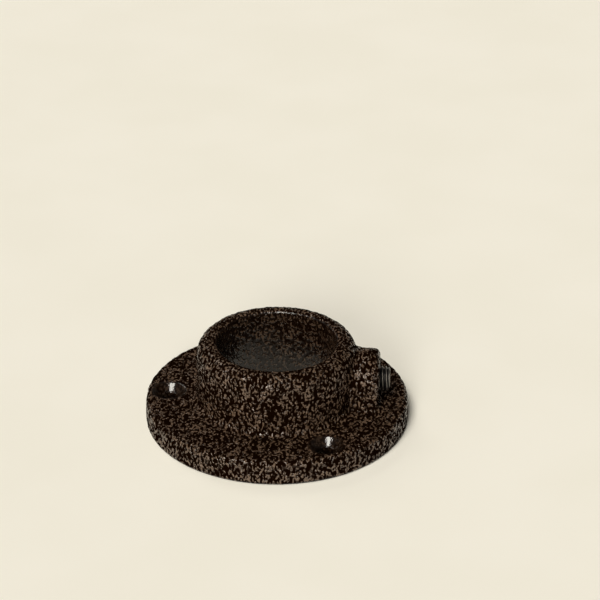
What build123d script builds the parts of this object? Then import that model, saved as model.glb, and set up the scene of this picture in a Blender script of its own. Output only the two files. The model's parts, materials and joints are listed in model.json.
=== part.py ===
"""Base flange for an upright tube: one iron casting and the set screw that clamps the tube.

Millimetres, +Z up. The origin is the centre of the flange's underside, on the tube's axis,
and the set screw lies along +X.
"""

import os
from math import cos, radians, sin, tan

from build123d import *

# Tube socket
tube_diameter = 48.3
tube_clearance = 0.35
mouth_chamfer = 0.8
stop_width = 3.5
stop_height = 4.0

# Collar round the socket
collar_wall = 8.1
collar_height = 25.2
collar_rounding = 5.5

# Round disc that is fixed to the floor
disc_width = 21.05
disc_thickness = 10.3
rim_chamfer = 1.2
base_chamfer = 0.6

# Countersunk fixing holes
hole_count = 3
first_hole_angle = 60
hole_radius = 3.5
countersink_radius = 6.9
rim_to_hole = 9.5

# Boss for the set screw
boss_wall = 7.35
boss_projection = 9.7
boss_top_gap = 4.0
boss_rounding = 2.5

# Every cast wall
draft = radians(1.5)
inner_corner_radius = 1.5

# Set screw
screw_diameter = 10.0
screw_length = 20.0
screw_standoff = 4.2
screw_clearance = 0.05
screw_chamfer = 0.9
key_size = 5.0
key_depth = 6.0
key_mouth_chamfer = 0.3
drill_angle = radians(118)
cup_radius = 3.0
cup_depth = 1.4

# Sizes that follow from these
bore_radius = tube_diameter / 2 + tube_clearance
stop_radius = bore_radius - stop_width
collar_radius = bore_radius + collar_wall
collar_foot_radius = collar_radius + collar_height * tan(draft)
total_height = disc_thickness + collar_height
disc_radius = collar_foot_radius + disc_width
disc_top_radius = disc_radius - disc_thickness * tan(draft)
hole_circle_radius = disc_radius - rim_to_hole

screw_radius = screw_diameter / 2
screw_hole_radius = screw_radius + screw_clearance
boss_radius = screw_radius + boss_wall
boss_face = collar_radius + boss_projection
screw_height = total_height - boss_top_gap - boss_radius
screw_outer_end = boss_face + screw_standoff
screw_inner_end = screw_outer_end - screw_length
screw_axis = Axis((0, 0, screw_height), (1, 0, 0))


# Boss, to be joined to the casting: a round top with sides that widen down into the disc
with BuildPart() as screw_boss:
    with BuildSketch(Plane.YZ) as boss_section:
        side_y = boss_radius * cos(draft)
        side_z = screw_height + boss_radius * sin(draft)
        foot_z = disc_thickness / 2
        foot_y = side_y + (side_z - foot_z) * tan(draft)
        with BuildLine():
            ThreePointArc((side_y, side_z), (0, screw_height + boss_radius), (-side_y, side_z))
            Polyline((-side_y, side_z), (-foot_y, foot_z), (foot_y, foot_z), (side_y, side_z))
        make_face()
    extrude(amount=boss_face)
    end_outline = screw_boss.faces().sort_by(Axis.X)[-1].edges().sort_by(Axis.Z)
    fillet(end_outline[1:], boss_rounding)


# Casting
with BuildPart() as flange_casting:
    # The disc and the collar are one turned shape that narrows upwards by the draft.
    # Its half section lies at -X, away from the boss.
    with BuildSketch(Plane((0, 0, 0), x_dir=(-1, 0, 0), z_dir=(0, 1, 0))) as disc_and_collar:
        with BuildLine():
            Polyline(
                (0, 0),
                (disc_radius, 0),
                (disc_top_radius, disc_thickness),
                (collar_foot_radius, disc_thickness),
                (collar_radius, total_height),
                (0, total_height),
                close=True,
            )
        make_face()
        chamfer(disc_and_collar.vertices().sort_by_distance((disc_radius, 0))[0], base_chamfer)
        rim = disc_and_collar.vertices().sort_by_distance((disc_top_radius, disc_thickness))[0]
        chamfer(rim, rim_chamfer)
        collar_rim = disc_and_collar.vertices().sort_by_distance((collar_radius, total_height))[0]
        fillet(collar_rim, collar_rounding)
    revolve(axis=Axis.Z)

    # One cast radius runs along the foot of the collar, round the boss and up between them.
    add(screw_boss.part)
    boss_seam = flange_casting.edges(Select.NEW)
    collar_foot = flange_casting.edges().sort_by_distance((-collar_foot_radius, 0, disc_thickness))[0]
    fillet(boss_seam + [collar_foot], inner_corner_radius)

    # A narrow ledge at the bottom of the socket stops the tube.
    with Locations((0, 0, total_height)):
        CounterBoreHole(stop_radius, bore_radius, total_height - stop_height)
    chamfer(flange_casting.edges().sort_by_distance((-bore_radius, 0, total_height))[0], mouth_chamfer)

    # The fixing holes, each sunk for a flat-headed screw
    with Locations((0, 0, disc_thickness)):
        with PolarLocations(hole_circle_radius, hole_count, first_hole_angle):
            CounterSinkHole(hole_radius, countersink_radius, counter_sink_angle=90)

    # The set screw's hole, from the end of the boss into the socket
    with Locations(Plane((boss_face, 0, screw_height), z_dir=(1, 0, 0))):
        CounterSinkHole(
            screw_hole_radius,
            screw_hole_radius + screw_chamfer,
            depth=boss_face,
            counter_sink_angle=90,
        )

flange_casting.part.label = "flange_casting"


# Set screw, turned about its own axis with the cup point towards the tube
with BuildPart() as set_screw:
    with BuildSketch(Plane.XZ) as screw_section:
        with BuildLine():
            Polyline(
                (screw_inner_end + cup_depth, screw_height),
                (screw_inner_end, screw_height + cup_radius),
                (screw_inner_end + screw_radius - cup_radius, screw_height + screw_radius),
                (screw_outer_end - screw_chamfer, screw_height + screw_radius),
                (screw_outer_end, screw_height + screw_radius - screw_chamfer),
                (screw_outer_end, screw_height),
                close=True,
            )
        make_face()
    revolve(axis=screw_axis)

    # The key's socket has six sides, two of them level, and a drilled cone at its bottom.
    key_plane = Plane((screw_outer_end, 0, screw_height), x_dir=(0, 1, 0), z_dir=(1, 0, 0))
    with BuildSketch(key_plane):
        RegularPolygon(key_size / 2, 6, major_radius=False)
    extrude(amount=-key_depth, mode=Mode.SUBTRACT)
    chamfer(set_screw.faces().sort_by(Axis.X)[-1].inner_wires()[0].edges(), key_mouth_chamfer)
    with BuildSketch(Plane.XZ) as drill_point:
        key_bottom = screw_outer_end - key_depth
        with BuildLine():
            Polyline(
                (key_bottom, screw_height),
                (key_bottom, screw_height + key_size / 2),
                (key_bottom - key_size / 2 / tan(drill_angle / 2), screw_height),
                close=True,
            )
        make_face()
    revolve(axis=screw_axis, mode=Mode.SUBTRACT)

set_screw.part.label = "set_screw"


os.makedirs("parts", exist_ok=True)
export_step(flange_casting.part, "parts/flange_casting.step")
export_step(set_screw.part, "parts/set_screw.step")
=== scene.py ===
import json
from math import cos, pi, radians, sin, tan

import bmesh
import bpy
import numpy as np
from mathutils import Matrix, Vector


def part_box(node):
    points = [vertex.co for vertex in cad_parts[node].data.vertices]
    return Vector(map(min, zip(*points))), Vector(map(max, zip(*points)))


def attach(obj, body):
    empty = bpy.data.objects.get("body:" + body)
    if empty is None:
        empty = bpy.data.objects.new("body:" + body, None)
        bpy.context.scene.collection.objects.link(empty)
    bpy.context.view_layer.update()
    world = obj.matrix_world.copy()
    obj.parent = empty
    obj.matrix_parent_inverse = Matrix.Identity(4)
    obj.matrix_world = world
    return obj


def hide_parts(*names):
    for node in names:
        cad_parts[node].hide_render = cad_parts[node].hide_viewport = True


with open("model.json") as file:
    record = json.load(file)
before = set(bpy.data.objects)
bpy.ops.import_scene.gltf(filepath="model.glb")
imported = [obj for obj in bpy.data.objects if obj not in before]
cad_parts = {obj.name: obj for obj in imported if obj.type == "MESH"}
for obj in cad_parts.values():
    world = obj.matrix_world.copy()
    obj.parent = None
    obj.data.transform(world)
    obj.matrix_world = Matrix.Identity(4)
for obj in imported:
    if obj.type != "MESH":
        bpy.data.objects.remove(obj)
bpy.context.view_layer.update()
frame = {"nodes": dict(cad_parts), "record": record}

# Base flange for an upright tube: a casting under hammered enamel, and its threaded set screw.
# Metres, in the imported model's frame: the underside stands on the floor, the screw points along +X.

MM = 0.001
scene = bpy.context.scene
record = frame["record"]


# ---------------------------------------------------------------- sizes

mounts = {mount["name"]: mount for mount in record["mounts"]}
SOCKET_RADIUS = mounts["tube_socket"]["dims"]["r_mm"] * MM
HOLE_CIRCLE = mounts["fixing_holes"]["dims"]["pcd_mm"] * MM / 2
HOLE_ANGLES = [radians(angle) for angle in (60, 180, 300)]
COUNTERSINK_RADIUS = 6.9 * MM

screw_low, screw_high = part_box("set_screw")
SCREW_HEIGHT = (screw_low.z + screw_high.z) / 2
SCREW_RADIUS = (screw_high.y - screw_low.y) / 2
SCREW_POINT = screw_low.x
SCREW_HEAD = screw_high.x


# ---------------------------------------------------------------- mesh helpers

def add_object(name, mesh):
    """Puts a mesh into the scene under a name."""
    piece = bpy.data.objects.new(name, mesh)
    scene.collection.objects.link(piece)
    return piece


def vertex_places(mesh):
    """A mesh's vertex places as one array of rows."""
    values = np.empty(len(mesh.vertices) * 3, np.float32)
    mesh.vertices.foreach_get("co", values)
    return values.reshape(-1, 3).astype(float)


def smooth_step(low, high, values):
    """0 below low, 1 above high, and an even bend between."""
    share = np.clip((values - low) / (high - low), 0, 1)
    return share * share * (3 - 2 * share)


# ---------------------------------------------------------------- node helpers

def new_material(name):
    """An empty node material with a Principled shader; returns the material, its nodes and the shader."""
    material = bpy.data.materials.new(name)
    material.use_nodes = True
    nodes = material.node_tree.nodes
    nodes.clear()
    shader = nodes.new("ShaderNodeBsdfPrincipled")
    output = nodes.new("ShaderNodeOutputMaterial")
    material.node_tree.links.new(shader.outputs["BSDF"], output.inputs["Surface"])
    return material, nodes, shader


def new_group(name, inputs, outputs):
    """An empty shader node group; inputs are (name, socket kind, value) and outputs (name, socket kind)."""
    group = bpy.data.node_groups.new(name, "ShaderNodeTree")
    for label, kind, value in inputs:
        socket = group.interface.new_socket(label, in_out="INPUT", socket_type=kind)
        socket.default_value = value
    for label, kind in outputs:
        group.interface.new_socket(label, in_out="OUTPUT", socket_type=kind)
    return group, group.nodes.new("NodeGroupInput"), group.nodes.new("NodeGroupOutput")


def place_group(tree, group, **values):
    """Puts a node group into a material with its own values."""
    node = tree.nodes.new("ShaderNodeGroup")
    node.node_tree = group
    for label, value in values.items():
        node.inputs[label.replace("_", " ")].default_value = value
    return node


def math_node(tree, operation, first, second=None):
    """A Math node; each operand is a socket or a number."""
    node = tree.nodes.new("ShaderNodeMath")
    node.operation = operation
    for slot, operand in enumerate((first, second)):
        if operand is None:
            continue
        if isinstance(operand, (int, float)):
            node.inputs[slot].default_value = operand
        else:
            tree.links.new(operand, node.inputs[slot])
    return node.outputs[0]


def range_node(tree, value, low, high, new_low, new_high):
    """A clamped Map Range node."""
    node = tree.nodes.new("ShaderNodeMapRange")
    node.interpolation_type = "SMOOTHSTEP"
    tree.links.new(value, node.inputs["Value"])
    for label, number in (
        ("From Min", low), ("From Max", high), ("To Min", new_low), ("To Max", new_high),
    ):
        node.inputs[label].default_value = number
    return node.outputs["Result"]


def mix_colour(tree, share, first, second):
    """A Mix node between two colours; each is a socket or a colour."""
    node = tree.nodes.new("ShaderNodeMix")
    node.data_type = "RGBA"
    tree.links.new(share, node.inputs[0])
    for slot, colour in ((6, first), (7, second)):
        if isinstance(colour, tuple):
            node.inputs[slot].default_value = (*colour, 1)
        else:
            tree.links.new(colour, node.inputs[slot])
    return node.outputs[2]


def noise_node(tree, scale):
    """A Noise texture over the piece's own coordinates."""
    place = tree.nodes.new("ShaderNodeTexCoord")
    node = tree.nodes.new("ShaderNodeTexNoise")
    tree.links.new(place.outputs["Object"], node.inputs["Vector"])
    node.inputs["Scale"].default_value = scale
    return node.outputs["Fac"]


# ---------------------------------------------------------------- casting under hammered enamel

VOXEL = 0.55 * MM
BROAD_GRAIN = 1.6 * MM
FINE_GRAIN = 0.95 * MM
RELIEF_DEPTH = 0.22 * MM
SOCKET_RELIEF = 0.4
HOLE_RELIEF = 0.1
SCREW_MOUTH_RADIUS = SCREW_RADIUS + 1.4 * MM
UNDERSIDE_FADE = 1.2 * MM


def hammered_pattern(tree, place, grain, foot, crest):
    """Nodes for the wrinkles of the enamel, in a shader tree or a geometry tree.

    Takes a socket that gives places in metres and returns one from 0 in a groove to 1 on a wrinkle.
    Foot and crest are the levels of the noise at which a wrinkle begins and is at its full height.
    """
    stretch = tree.nodes.new("ShaderNodeVectorMath")
    stretch.operation = "MULTIPLY"
    tree.links.new(place, stretch.inputs[0])
    stretch.inputs[1].default_value = (1.0, 0.6, 0.62)
    bands = tree.nodes.new("ShaderNodeTexNoise")
    bands.inputs["Scale"].default_value = 1 / grain
    bands.inputs["Detail"].default_value = 0.0
    bands.inputs["Distortion"].default_value = 0.25
    tree.links.new(stretch.outputs[0], bands.inputs["Vector"])
    wrinkle = range_node(tree, bands.outputs["Fac"], foot, crest, 0, 1)
    breaks = tree.nodes.new("ShaderNodeTexNoise")
    breaks.inputs["Scale"].default_value = 1.2 / grain
    breaks.inputs["Detail"].default_value = 0.0
    tree.links.new(place, breaks.inputs["Vector"])
    level = range_node(tree, breaks.outputs["Fac"], 0.35, 0.60, 0.3, 1)
    return math_node(tree, "MULTIPLY", wrinkle, level)


def relief_nodes():
    """Geometry nodes that push a surface inwards where the enamel is thin."""
    group = bpy.data.node_groups.new("relief_in_the_surface", "GeometryNodeTree")
    group.interface.new_socket("Geometry", in_out="INPUT", socket_type="NodeSocketGeometry")
    group.interface.new_socket("Geometry", in_out="OUTPUT", socket_type="NodeSocketGeometry")
    given = group.nodes.new("NodeGroupInput")
    result = group.nodes.new("NodeGroupOutput")
    place = group.nodes.new("GeometryNodeInputPosition")
    normal = group.nodes.new("GeometryNodeInputNormal")
    strength = group.nodes.new("GeometryNodeInputNamedAttribute")
    strength.data_type = "FLOAT"
    strength.inputs["Name"].default_value = "relief_strength"
    height = hammered_pattern(group, place.outputs[0], BROAD_GRAIN, 0.34, 0.64)
    missing = math_node(group, "SUBTRACT", 1.0, height)
    share = math_node(group, "MULTIPLY", missing, strength.outputs["Attribute"])
    depth = math_node(group, "MULTIPLY", share, -RELIEF_DEPTH)
    inwards = group.nodes.new("ShaderNodeVectorMath")
    inwards.operation = "SCALE"
    group.links.new(normal.outputs[0], inwards.inputs[0])
    group.links.new(depth, inwards.inputs["Scale"])
    move = group.nodes.new("GeometryNodeSetPosition")
    group.links.new(given.outputs[0], move.inputs["Geometry"])
    group.links.new(inwards.outputs[0], move.inputs["Offset"])
    group.links.new(move.outputs[0], result.inputs[0])
    return group


def applied(piece):
    """The mesh that a piece's modifiers make."""
    depsgraph = bpy.context.evaluated_depsgraph_get()
    mesh = bpy.data.meshes.new_from_object(piece.evaluated_get(depsgraph))
    piece.modifiers.clear()
    piece.data = mesh
    mesh.name = piece.name
    return mesh


def relief_strength(places):
    """How deep the relief is at each place: full outside, shallow in the socket, none in cut holes."""
    strength = np.ones(len(places))
    x, y, z = places.T
    strength[np.hypot(x, y) < SOCKET_RADIUS + 0.4 * MM] = SOCKET_RELIEF
    for angle in HOLE_ANGLES:
        away = np.hypot(x - HOLE_CIRCLE * cos(angle), y - HOLE_CIRCLE * sin(angle))
        outside = smooth_step(COUNTERSINK_RADIUS - 0.2 * MM, COUNTERSINK_RADIUS + 1 * MM, away)
        strength *= HOLE_RELIEF + (1 - HOLE_RELIEF) * outside
    in_screw_hole = np.hypot(y, z - SCREW_HEIGHT) < SCREW_MOUTH_RADIUS
    strength[in_screw_hole & (x > 0)] *= HOLE_RELIEF
    return strength * smooth_step(0, UNDERSIDE_FADE, z)


def flatten_underside(mesh):
    """Puts a few long triangles in place of the fine mesh of the flat underside."""
    bm = bmesh.new()
    bm.from_mesh(mesh)
    flat = [face for face in bm.faces if all(vert.co.z < 0.002 * MM for vert in face.verts)]
    bmesh.ops.delete(bm, geom=flat, context="FACES")
    rims = [edge for edge in bm.edges if edge.is_boundary]
    bmesh.ops.triangle_fill(bm, edges=rims, use_beauty=False, normal=(0, 0, -1))
    bm.to_mesh(mesh)
    bm.free()


def enamelled_casting():
    """The casting with the wrinkled skin of its enamel, moved inwards from the CAD surface."""
    node = frame["nodes"]["flange_casting"]
    piece = add_object("enamelled_casting", node.data.copy())
    even = piece.modifiers.new("even_mesh", "REMESH")
    even.mode = "VOXEL"
    even.voxel_size = VOXEL
    soften = piece.modifiers.new("soft_edges", "SMOOTH")
    soften.factor = 0.5
    soften.iterations = 3
    mesh = applied(piece)
    strength = mesh.attributes.new("relief_strength", "FLOAT", "POINT")
    strength.data.foreach_set("value", relief_strength(vertex_places(mesh)).astype(np.float32))
    relief = piece.modifiers.new("relief", "NODES")
    relief.node_group = relief_nodes()
    mesh = applied(piece)
    flatten_underside(mesh)
    mesh.shade_smooth()
    return piece


# ---------------------------------------------------------------- threaded set screw

THREAD_PITCH = 1.5 * MM
THREAD_DEPTH = 0.92 * MM
# Share of a pitch along the screw, and share of the thread's depth below its crest.
THREAD_PROFILE = [
    (-0.055, 0.04), (0.0, 0.0), (0.055, 0.04), (0.11, 0.17), (0.17, 0.33), (0.23, 0.5),
    (0.29, 0.67), (0.35, 0.84), (0.41, 0.95), (0.5, 1.0), (0.59, 0.95), (0.65, 0.84),
    (0.71, 0.67), (0.77, 0.5), (0.83, 0.33), (0.89, 0.17),
]
SIDES = 96
HEAD_CHAMFER = 0.9 * MM
CUP_RADIUS = 3.0 * MM
CUP_DEPTH = 1.4 * MM
KEY_FLAT = 2.5 * MM
KEY_DEPTH = 6.0 * MM
KEY_MOUTH = 0.3 * MM
KEY_CORNER = 1.135
CREST_GAP = 0.02 * MM
DRILL_ANGLE = radians(118)


def around(radius, along):
    """One ring of places about the screw's axis; radius is a number or one number for each side."""
    turn = np.arange(SIDES) * 2 * pi / SIDES
    radii = np.broadcast_to(radius, SIDES)
    ring = np.empty((SIDES, 3))
    ring[:, 0] = along
    ring[:, 1] = radii * np.cos(turn)
    ring[:, 2] = SCREW_HEIGHT + radii * np.sin(turn)
    return ring


def six_sided(flat):
    """Radius of a hexagon at each side of a ring, with corners along Y, blunted a little."""
    turn = np.arange(SIDES) * 2 * pi / SIDES
    from_corner = (turn % (pi / 3)) - pi / 6
    return np.minimum(flat / np.cos(from_corner), flat * KEY_CORNER)


def bridge(bm, first, second):
    """Joins two closed rings of vertices with quads."""
    for side in range(SIDES):
        after = (side + 1) % SIDES
        bm.faces.new((first[side], first[after], second[after], second[side]))


def fan(bm, ring, centre):
    """Closes a ring with triangles to one point."""
    middle = bm.verts.new(centre)
    for side in range(SIDES):
        bm.faces.new((ring[side], ring[(side + 1) % SIDES], middle))


def add_rings(bm, rings):
    """Adds rings and joins each to the next; returns their vertices."""
    made = [[bm.verts.new(place) for place in ring] for ring in rings]
    for first, second in zip(made, made[1:]):
        bridge(bm, first, second)
    return made


def chamfered_limit(along):
    """Largest radius at a place along the screw, with its two bevelled ends."""
    at_head = SCREW_RADIUS - HEAD_CHAMFER + (SCREW_HEAD - along)
    at_point = CUP_RADIUS + (along - SCREW_POINT)
    return min(SCREW_RADIUS, at_head, at_point)


def add_thread(bm):
    """The helical flank, as rows that climb with the thread and are gathered up at both ends."""
    length = SCREW_HEAD - SCREW_POINT
    turns = int(length / THREAD_PITCH) + 3
    rows = []
    for turn in range(-1, turns):
        for share, dip in THREAD_PROFILE:
            row = []
            for side in range(SIDES + 1):
                lead = turn + share + side / SIDES
                along = SCREW_POINT + lead * THREAD_PITCH
                inside = min(max(along, SCREW_POINT), SCREW_HEAD)
                radius = SCREW_RADIUS - CREST_GAP - dip * THREAD_DEPTH
                radius = min(radius, chamfered_limit(inside))
                if inside != along:
                    radius = chamfered_limit(inside)
                angle = 2 * pi * side / SIDES
                row.append((inside, radius * cos(angle), SCREW_HEIGHT + radius * sin(angle)))
            rows.append([bm.verts.new(place) for place in row])
    for first, second in zip(rows, rows[1:]):
        for side in range(SIDES):
            bm.faces.new((first[side], first[side + 1], second[side + 1], second[side]))


def threaded_set_screw():
    """The set screw with a real thread, a key socket and a cup point."""
    bm = bmesh.new()
    add_thread(bm)

    key_bottom = SCREW_HEAD - KEY_DEPTH
    mouth = six_sided(KEY_FLAT) + KEY_MOUTH
    head = add_rings(bm, [
        around(SCREW_RADIUS - HEAD_CHAMFER, SCREW_HEAD),
        around(mouth + 0.05 * MM, SCREW_HEAD),
        around(mouth - 0.06 * MM, SCREW_HEAD - 0.04 * MM),
        around(six_sided(KEY_FLAT) + 0.03 * MM, SCREW_HEAD - KEY_MOUTH + 0.02 * MM),
        around(six_sided(KEY_FLAT), SCREW_HEAD - KEY_MOUTH - 0.06 * MM),
        around(six_sided(KEY_FLAT), key_bottom + 0.05 * MM),
        around(KEY_FLAT * 0.97, key_bottom),
    ])
    fan(bm, head[-1], (key_bottom - KEY_FLAT / tan(DRILL_ANGLE / 2), 0, SCREW_HEIGHT))
    point = add_rings(bm, [
        around(CUP_RADIUS, SCREW_POINT),
        around(CUP_RADIUS - 0.35 * MM, SCREW_POINT + 0.02 * MM),
        around(CUP_RADIUS - 0.55 * MM, SCREW_POINT + 0.16 * MM),
    ])
    fan(bm, point[-1], (SCREW_POINT + CUP_DEPTH, 0, SCREW_HEIGHT))

    bmesh.ops.remove_doubles(bm, verts=bm.verts, dist=2e-6)
    bmesh.ops.dissolve_degenerate(bm, edges=bm.edges, dist=1e-6)
    bmesh.ops.recalc_face_normals(bm, faces=bm.faces)
    mesh = bpy.data.meshes.new("threaded_set_screw")
    bm.to_mesh(mesh)
    bm.free()
    piece = add_object("threaded_set_screw", mesh)
    mesh.shade_smooth()
    return piece


# ---------------------------------------------------------------- shared effects

def make_fine_grain():
    """Group: small surface unevenness, as a height, and slow patches of tone, as a mask."""
    group, given, result = new_group(
        "fine_grain",
        [("Grain Scale", "NodeSocketFloat", 900.0), ("Patch Scale", "NodeSocketFloat", 60.0)],
        [("Height", "NodeSocketFloat"), ("Patches", "NodeSocketFloat")],
    )
    place = group.nodes.new("ShaderNodeTexCoord")
    for label, scale, detail in (("Height", "Grain Scale", 3.0), ("Patches", "Patch Scale", 2.0)):
        texture = group.nodes.new("ShaderNodeTexNoise")
        texture.inputs["Detail"].default_value = detail
        group.links.new(place.outputs["Object"], texture.inputs["Vector"])
        group.links.new(given.outputs[scale], texture.inputs["Scale"])
        if label == "Height":
            group.links.new(texture.outputs["Fac"], result.inputs[label])
        else:
            shaped = range_node(group, texture.outputs["Fac"], 0.38, 0.62, 0, 1)
            group.links.new(shaped, result.inputs[label])
    return group


fine_grain = make_fine_grain()


# ---------------------------------------------------------------- materials

def hammered_enamel():
    """Black-brown hammered enamel over cast iron: glossy wrinkles and dull grooves, with painted highlight
    on the wrinkles and painted shade in the grooves.
    """
    material, nodes, shader = new_material("hammered_enamel")
    tree = material.node_tree
    links = tree.links
    place = nodes.new("ShaderNodeTexCoord")
    pattern = hammered_pattern(tree, place.outputs["Object"], FINE_GRAIN, 0.41, 0.62)
    strength = nodes.new("ShaderNodeAttribute")
    strength.attribute_name = "relief_strength"
    grain = place_group(tree, fine_grain, Grain_Scale=1500.0, Patch_Scale=240.0)

    sunk = math_node(tree, "SUBTRACT", 1.0, pattern)
    sunk = math_node(tree, "MULTIPLY", sunk, strength.outputs["Fac"])
    height = math_node(tree, "SUBTRACT", 1.0, sunk)
    # Share of tan on the wrinkles. The tan is partly the enamel's own lighter tone and partly painted
    # highlight. The painted highlight fades where the relief is shallow: in the socket, in the holes and
    # near the underside.
    crest_tone_and_highlight = range_node(tree, pattern, 0.1, 1.0, 0, 1)
    relief_share = range_node(tree, strength.outputs["Fac"], 0.0, 1.0, 0.2, 1)
    crest_tone_and_highlight = math_node(tree, "MULTIPLY", crest_tone_and_highlight, relief_share)
    warm = mix_colour(tree, grain.outputs["Patches"], (0.122, 0.077, 0.049), (0.076, 0.046, 0.028))
    # Near-black in the grooves, which is painted shade, mixed with the tan of the wrinkles, which is partly
    # painted highlight.
    colour = mix_colour(tree, crest_tone_and_highlight, (0.0045, 0.0015, 0.0003), warm)
    links.new(colour, shader.inputs["Base Color"])
    shader.inputs["Roughness"].default_value = 0.5
    shader.inputs["Specular IOR Level"].default_value = 0.0
    links.new(range_node(tree, height, 0.1, 0.8, 0.0, 1), shader.inputs["Coat Weight"])
    shader.inputs["Coat Roughness"].default_value = 0.15
    shader.inputs["Coat IOR"].default_value = 1.6

    bump = nodes.new("ShaderNodeBump")
    bump.inputs["Strength"].default_value = 1.0
    bump.inputs["Distance"].default_value = 0.25 * MM
    links.new(height, bump.inputs["Height"])
    links.new(bump.outputs["Normal"], shader.inputs["Normal"])
    links.new(bump.outputs["Normal"], shader.inputs["Coat Normal"])
    return material


def oxidised_steel():
    """Black-oxide steel, lightly oiled, rubbed paler on its crests."""
    material, nodes, shader = new_material("oxidised_steel")
    tree = material.node_tree
    links = tree.links
    grain = place_group(tree, fine_grain, Grain_Scale=2600.0, Patch_Scale=420.0)
    shape = nodes.new("ShaderNodeNewGeometry")
    rubbed = range_node(tree, shape.outputs["Pointiness"], 0.505, 0.545, 0, 1)
    dark = mix_colour(tree, grain.outputs["Patches"], (0.016, 0.015, 0.015), (0.032, 0.030, 0.028))
    links.new(mix_colour(tree, rubbed, dark, (0.27, 0.245, 0.215)), shader.inputs["Base Color"])
    links.new(range_node(tree, grain.outputs["Patches"], 0, 1, 0.32, 0.44), shader.inputs["Roughness"])
    shader.inputs["Metallic"].default_value = 0.85

    bump = nodes.new("ShaderNodeBump")
    bump.inputs["Strength"].default_value = 0.3
    bump.inputs["Distance"].default_value = 0.02 * MM
    links.new(grain.outputs["Height"], bump.inputs["Height"])
    links.new(bump.outputs["Normal"], shader.inputs["Normal"])
    return material


def pale_floor():
    """Matt cream floor."""
    material, nodes, shader = new_material("pale_floor")
    tree = material.node_tree
    tone = range_node(tree, noise_node(tree, 14.0), 0.3, 0.7, 0, 1)
    colour = mix_colour(tree, tone, (0.93, 0.907, 0.823), (0.95, 0.927, 0.85))
    tree.links.new(colour, shader.inputs["Base Color"])
    shader.inputs["Roughness"].default_value = 0.9
    shader.inputs["Specular IOR Level"].default_value = 0.1
    return material


# ---------------------------------------------------------------- pieces on their bodies

casting = enamelled_casting()
casting.data.materials.clear()
casting.data.materials.append(hammered_enamel())
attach(casting, "casting")
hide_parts("flange_casting")

screw = threaded_set_screw()
screw.data.materials.append(oxidised_steel())
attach(screw, "screw")
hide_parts("set_screw")


# ---------------------------------------------------------------- floor, light and camera

WARM = (1.0, 0.96, 0.88)


def round_floor(radius):
    """A flat round floor, just under the flange."""
    bm = bmesh.new()
    bmesh.ops.create_circle(bm, cap_ends=True, segments=128, radius=radius)
    bmesh.ops.translate(bm, verts=bm.verts, vec=(0, 0, -0.02 * MM))
    mesh = bpy.data.meshes.new("floor")
    bm.to_mesh(mesh)
    bm.free()
    floor = add_object("floor", mesh)
    mesh.materials.append(pale_floor())


def soft_sun(name, source, strength, spread):
    """Even light from one side, from a round source that looks as wide as the given angle."""
    lamp = bpy.data.lights.new(name, "SUN")
    lamp.energy = strength
    lamp.angle = spread
    lamp.color = WARM
    holder = bpy.data.objects.new(name, lamp)
    scene.collection.objects.link(holder)
    holder.location = source
    holder.rotation_euler = (-Vector(source)).to_track_quat("-Z", "Y").to_euler()


def soft_sky(bright, dark):
    """Soft light from all round, darkest up behind the flange on the screw's side."""
    world = bpy.data.worlds.new("soft_sky")
    world.use_nodes = True
    scene.world = world
    tree = world.node_tree
    tree.nodes.clear()
    direction = tree.nodes.new("ShaderNodeTexCoord")
    toward_dark = tree.nodes.new("ShaderNodeVectorMath")
    toward_dark.operation = "DOT_PRODUCT"
    toward_dark.inputs[1].default_value = Vector((0.25, 0.7, 0.65)).normalized()
    tree.links.new(direction.outputs["Generated"], toward_dark.inputs[0])
    share = range_node(tree, toward_dark.outputs["Value"], -0.7, 0.4, 0, 1)
    background = tree.nodes.new("ShaderNodeBackground")
    tree.links.new(mix_colour(tree, share, bright, dark), background.inputs["Color"])
    background.inputs["Strength"].default_value = 1.0
    output = tree.nodes.new("ShaderNodeOutputWorld")
    tree.links.new(background.outputs[0], output.inputs["Surface"])


def view_camera(distance, elevation, turn, aim, lens):
    """A camera on a circle about the tube's axis, turned a little towards the screw's side."""
    place = Vector((
        distance * cos(elevation) * sin(turn),
        -distance * cos(elevation) * cos(turn),
        distance * sin(elevation),
    ))
    target = Matrix.Rotation(turn, 3, "Z") @ Vector(aim)
    data = bpy.data.cameras.new("camera")
    data.lens = lens
    data.sensor_width = 36
    data.clip_start = 0.01
    camera = bpy.data.objects.new("camera", data)
    scene.collection.objects.link(camera)
    camera.location = place
    camera.rotation_euler = (target - place).to_track_quat("-Z", "Y").to_euler()
    scene.camera = camera


round_floor(6.0)
soft_sun("key_light", (-0.45, -1.00, 1.70), 2.15, radians(26))
soft_sun("front_light", (-0.35, -2.10, 0.85), 1.55, radians(20))
soft_sun("back_light", (-1.00, 1.20, 1.50), 0.35, radians(26))
soft_sky((0.32, 0.308, 0.272), (0.055, 0.053, 0.047))
view_camera(1.0, 0.544194, radians(4.2), (0.0095, 0, 0.0540), 144.3)

scene.view_settings.view_transform = "Standard"


bpy.context.view_layer.update()
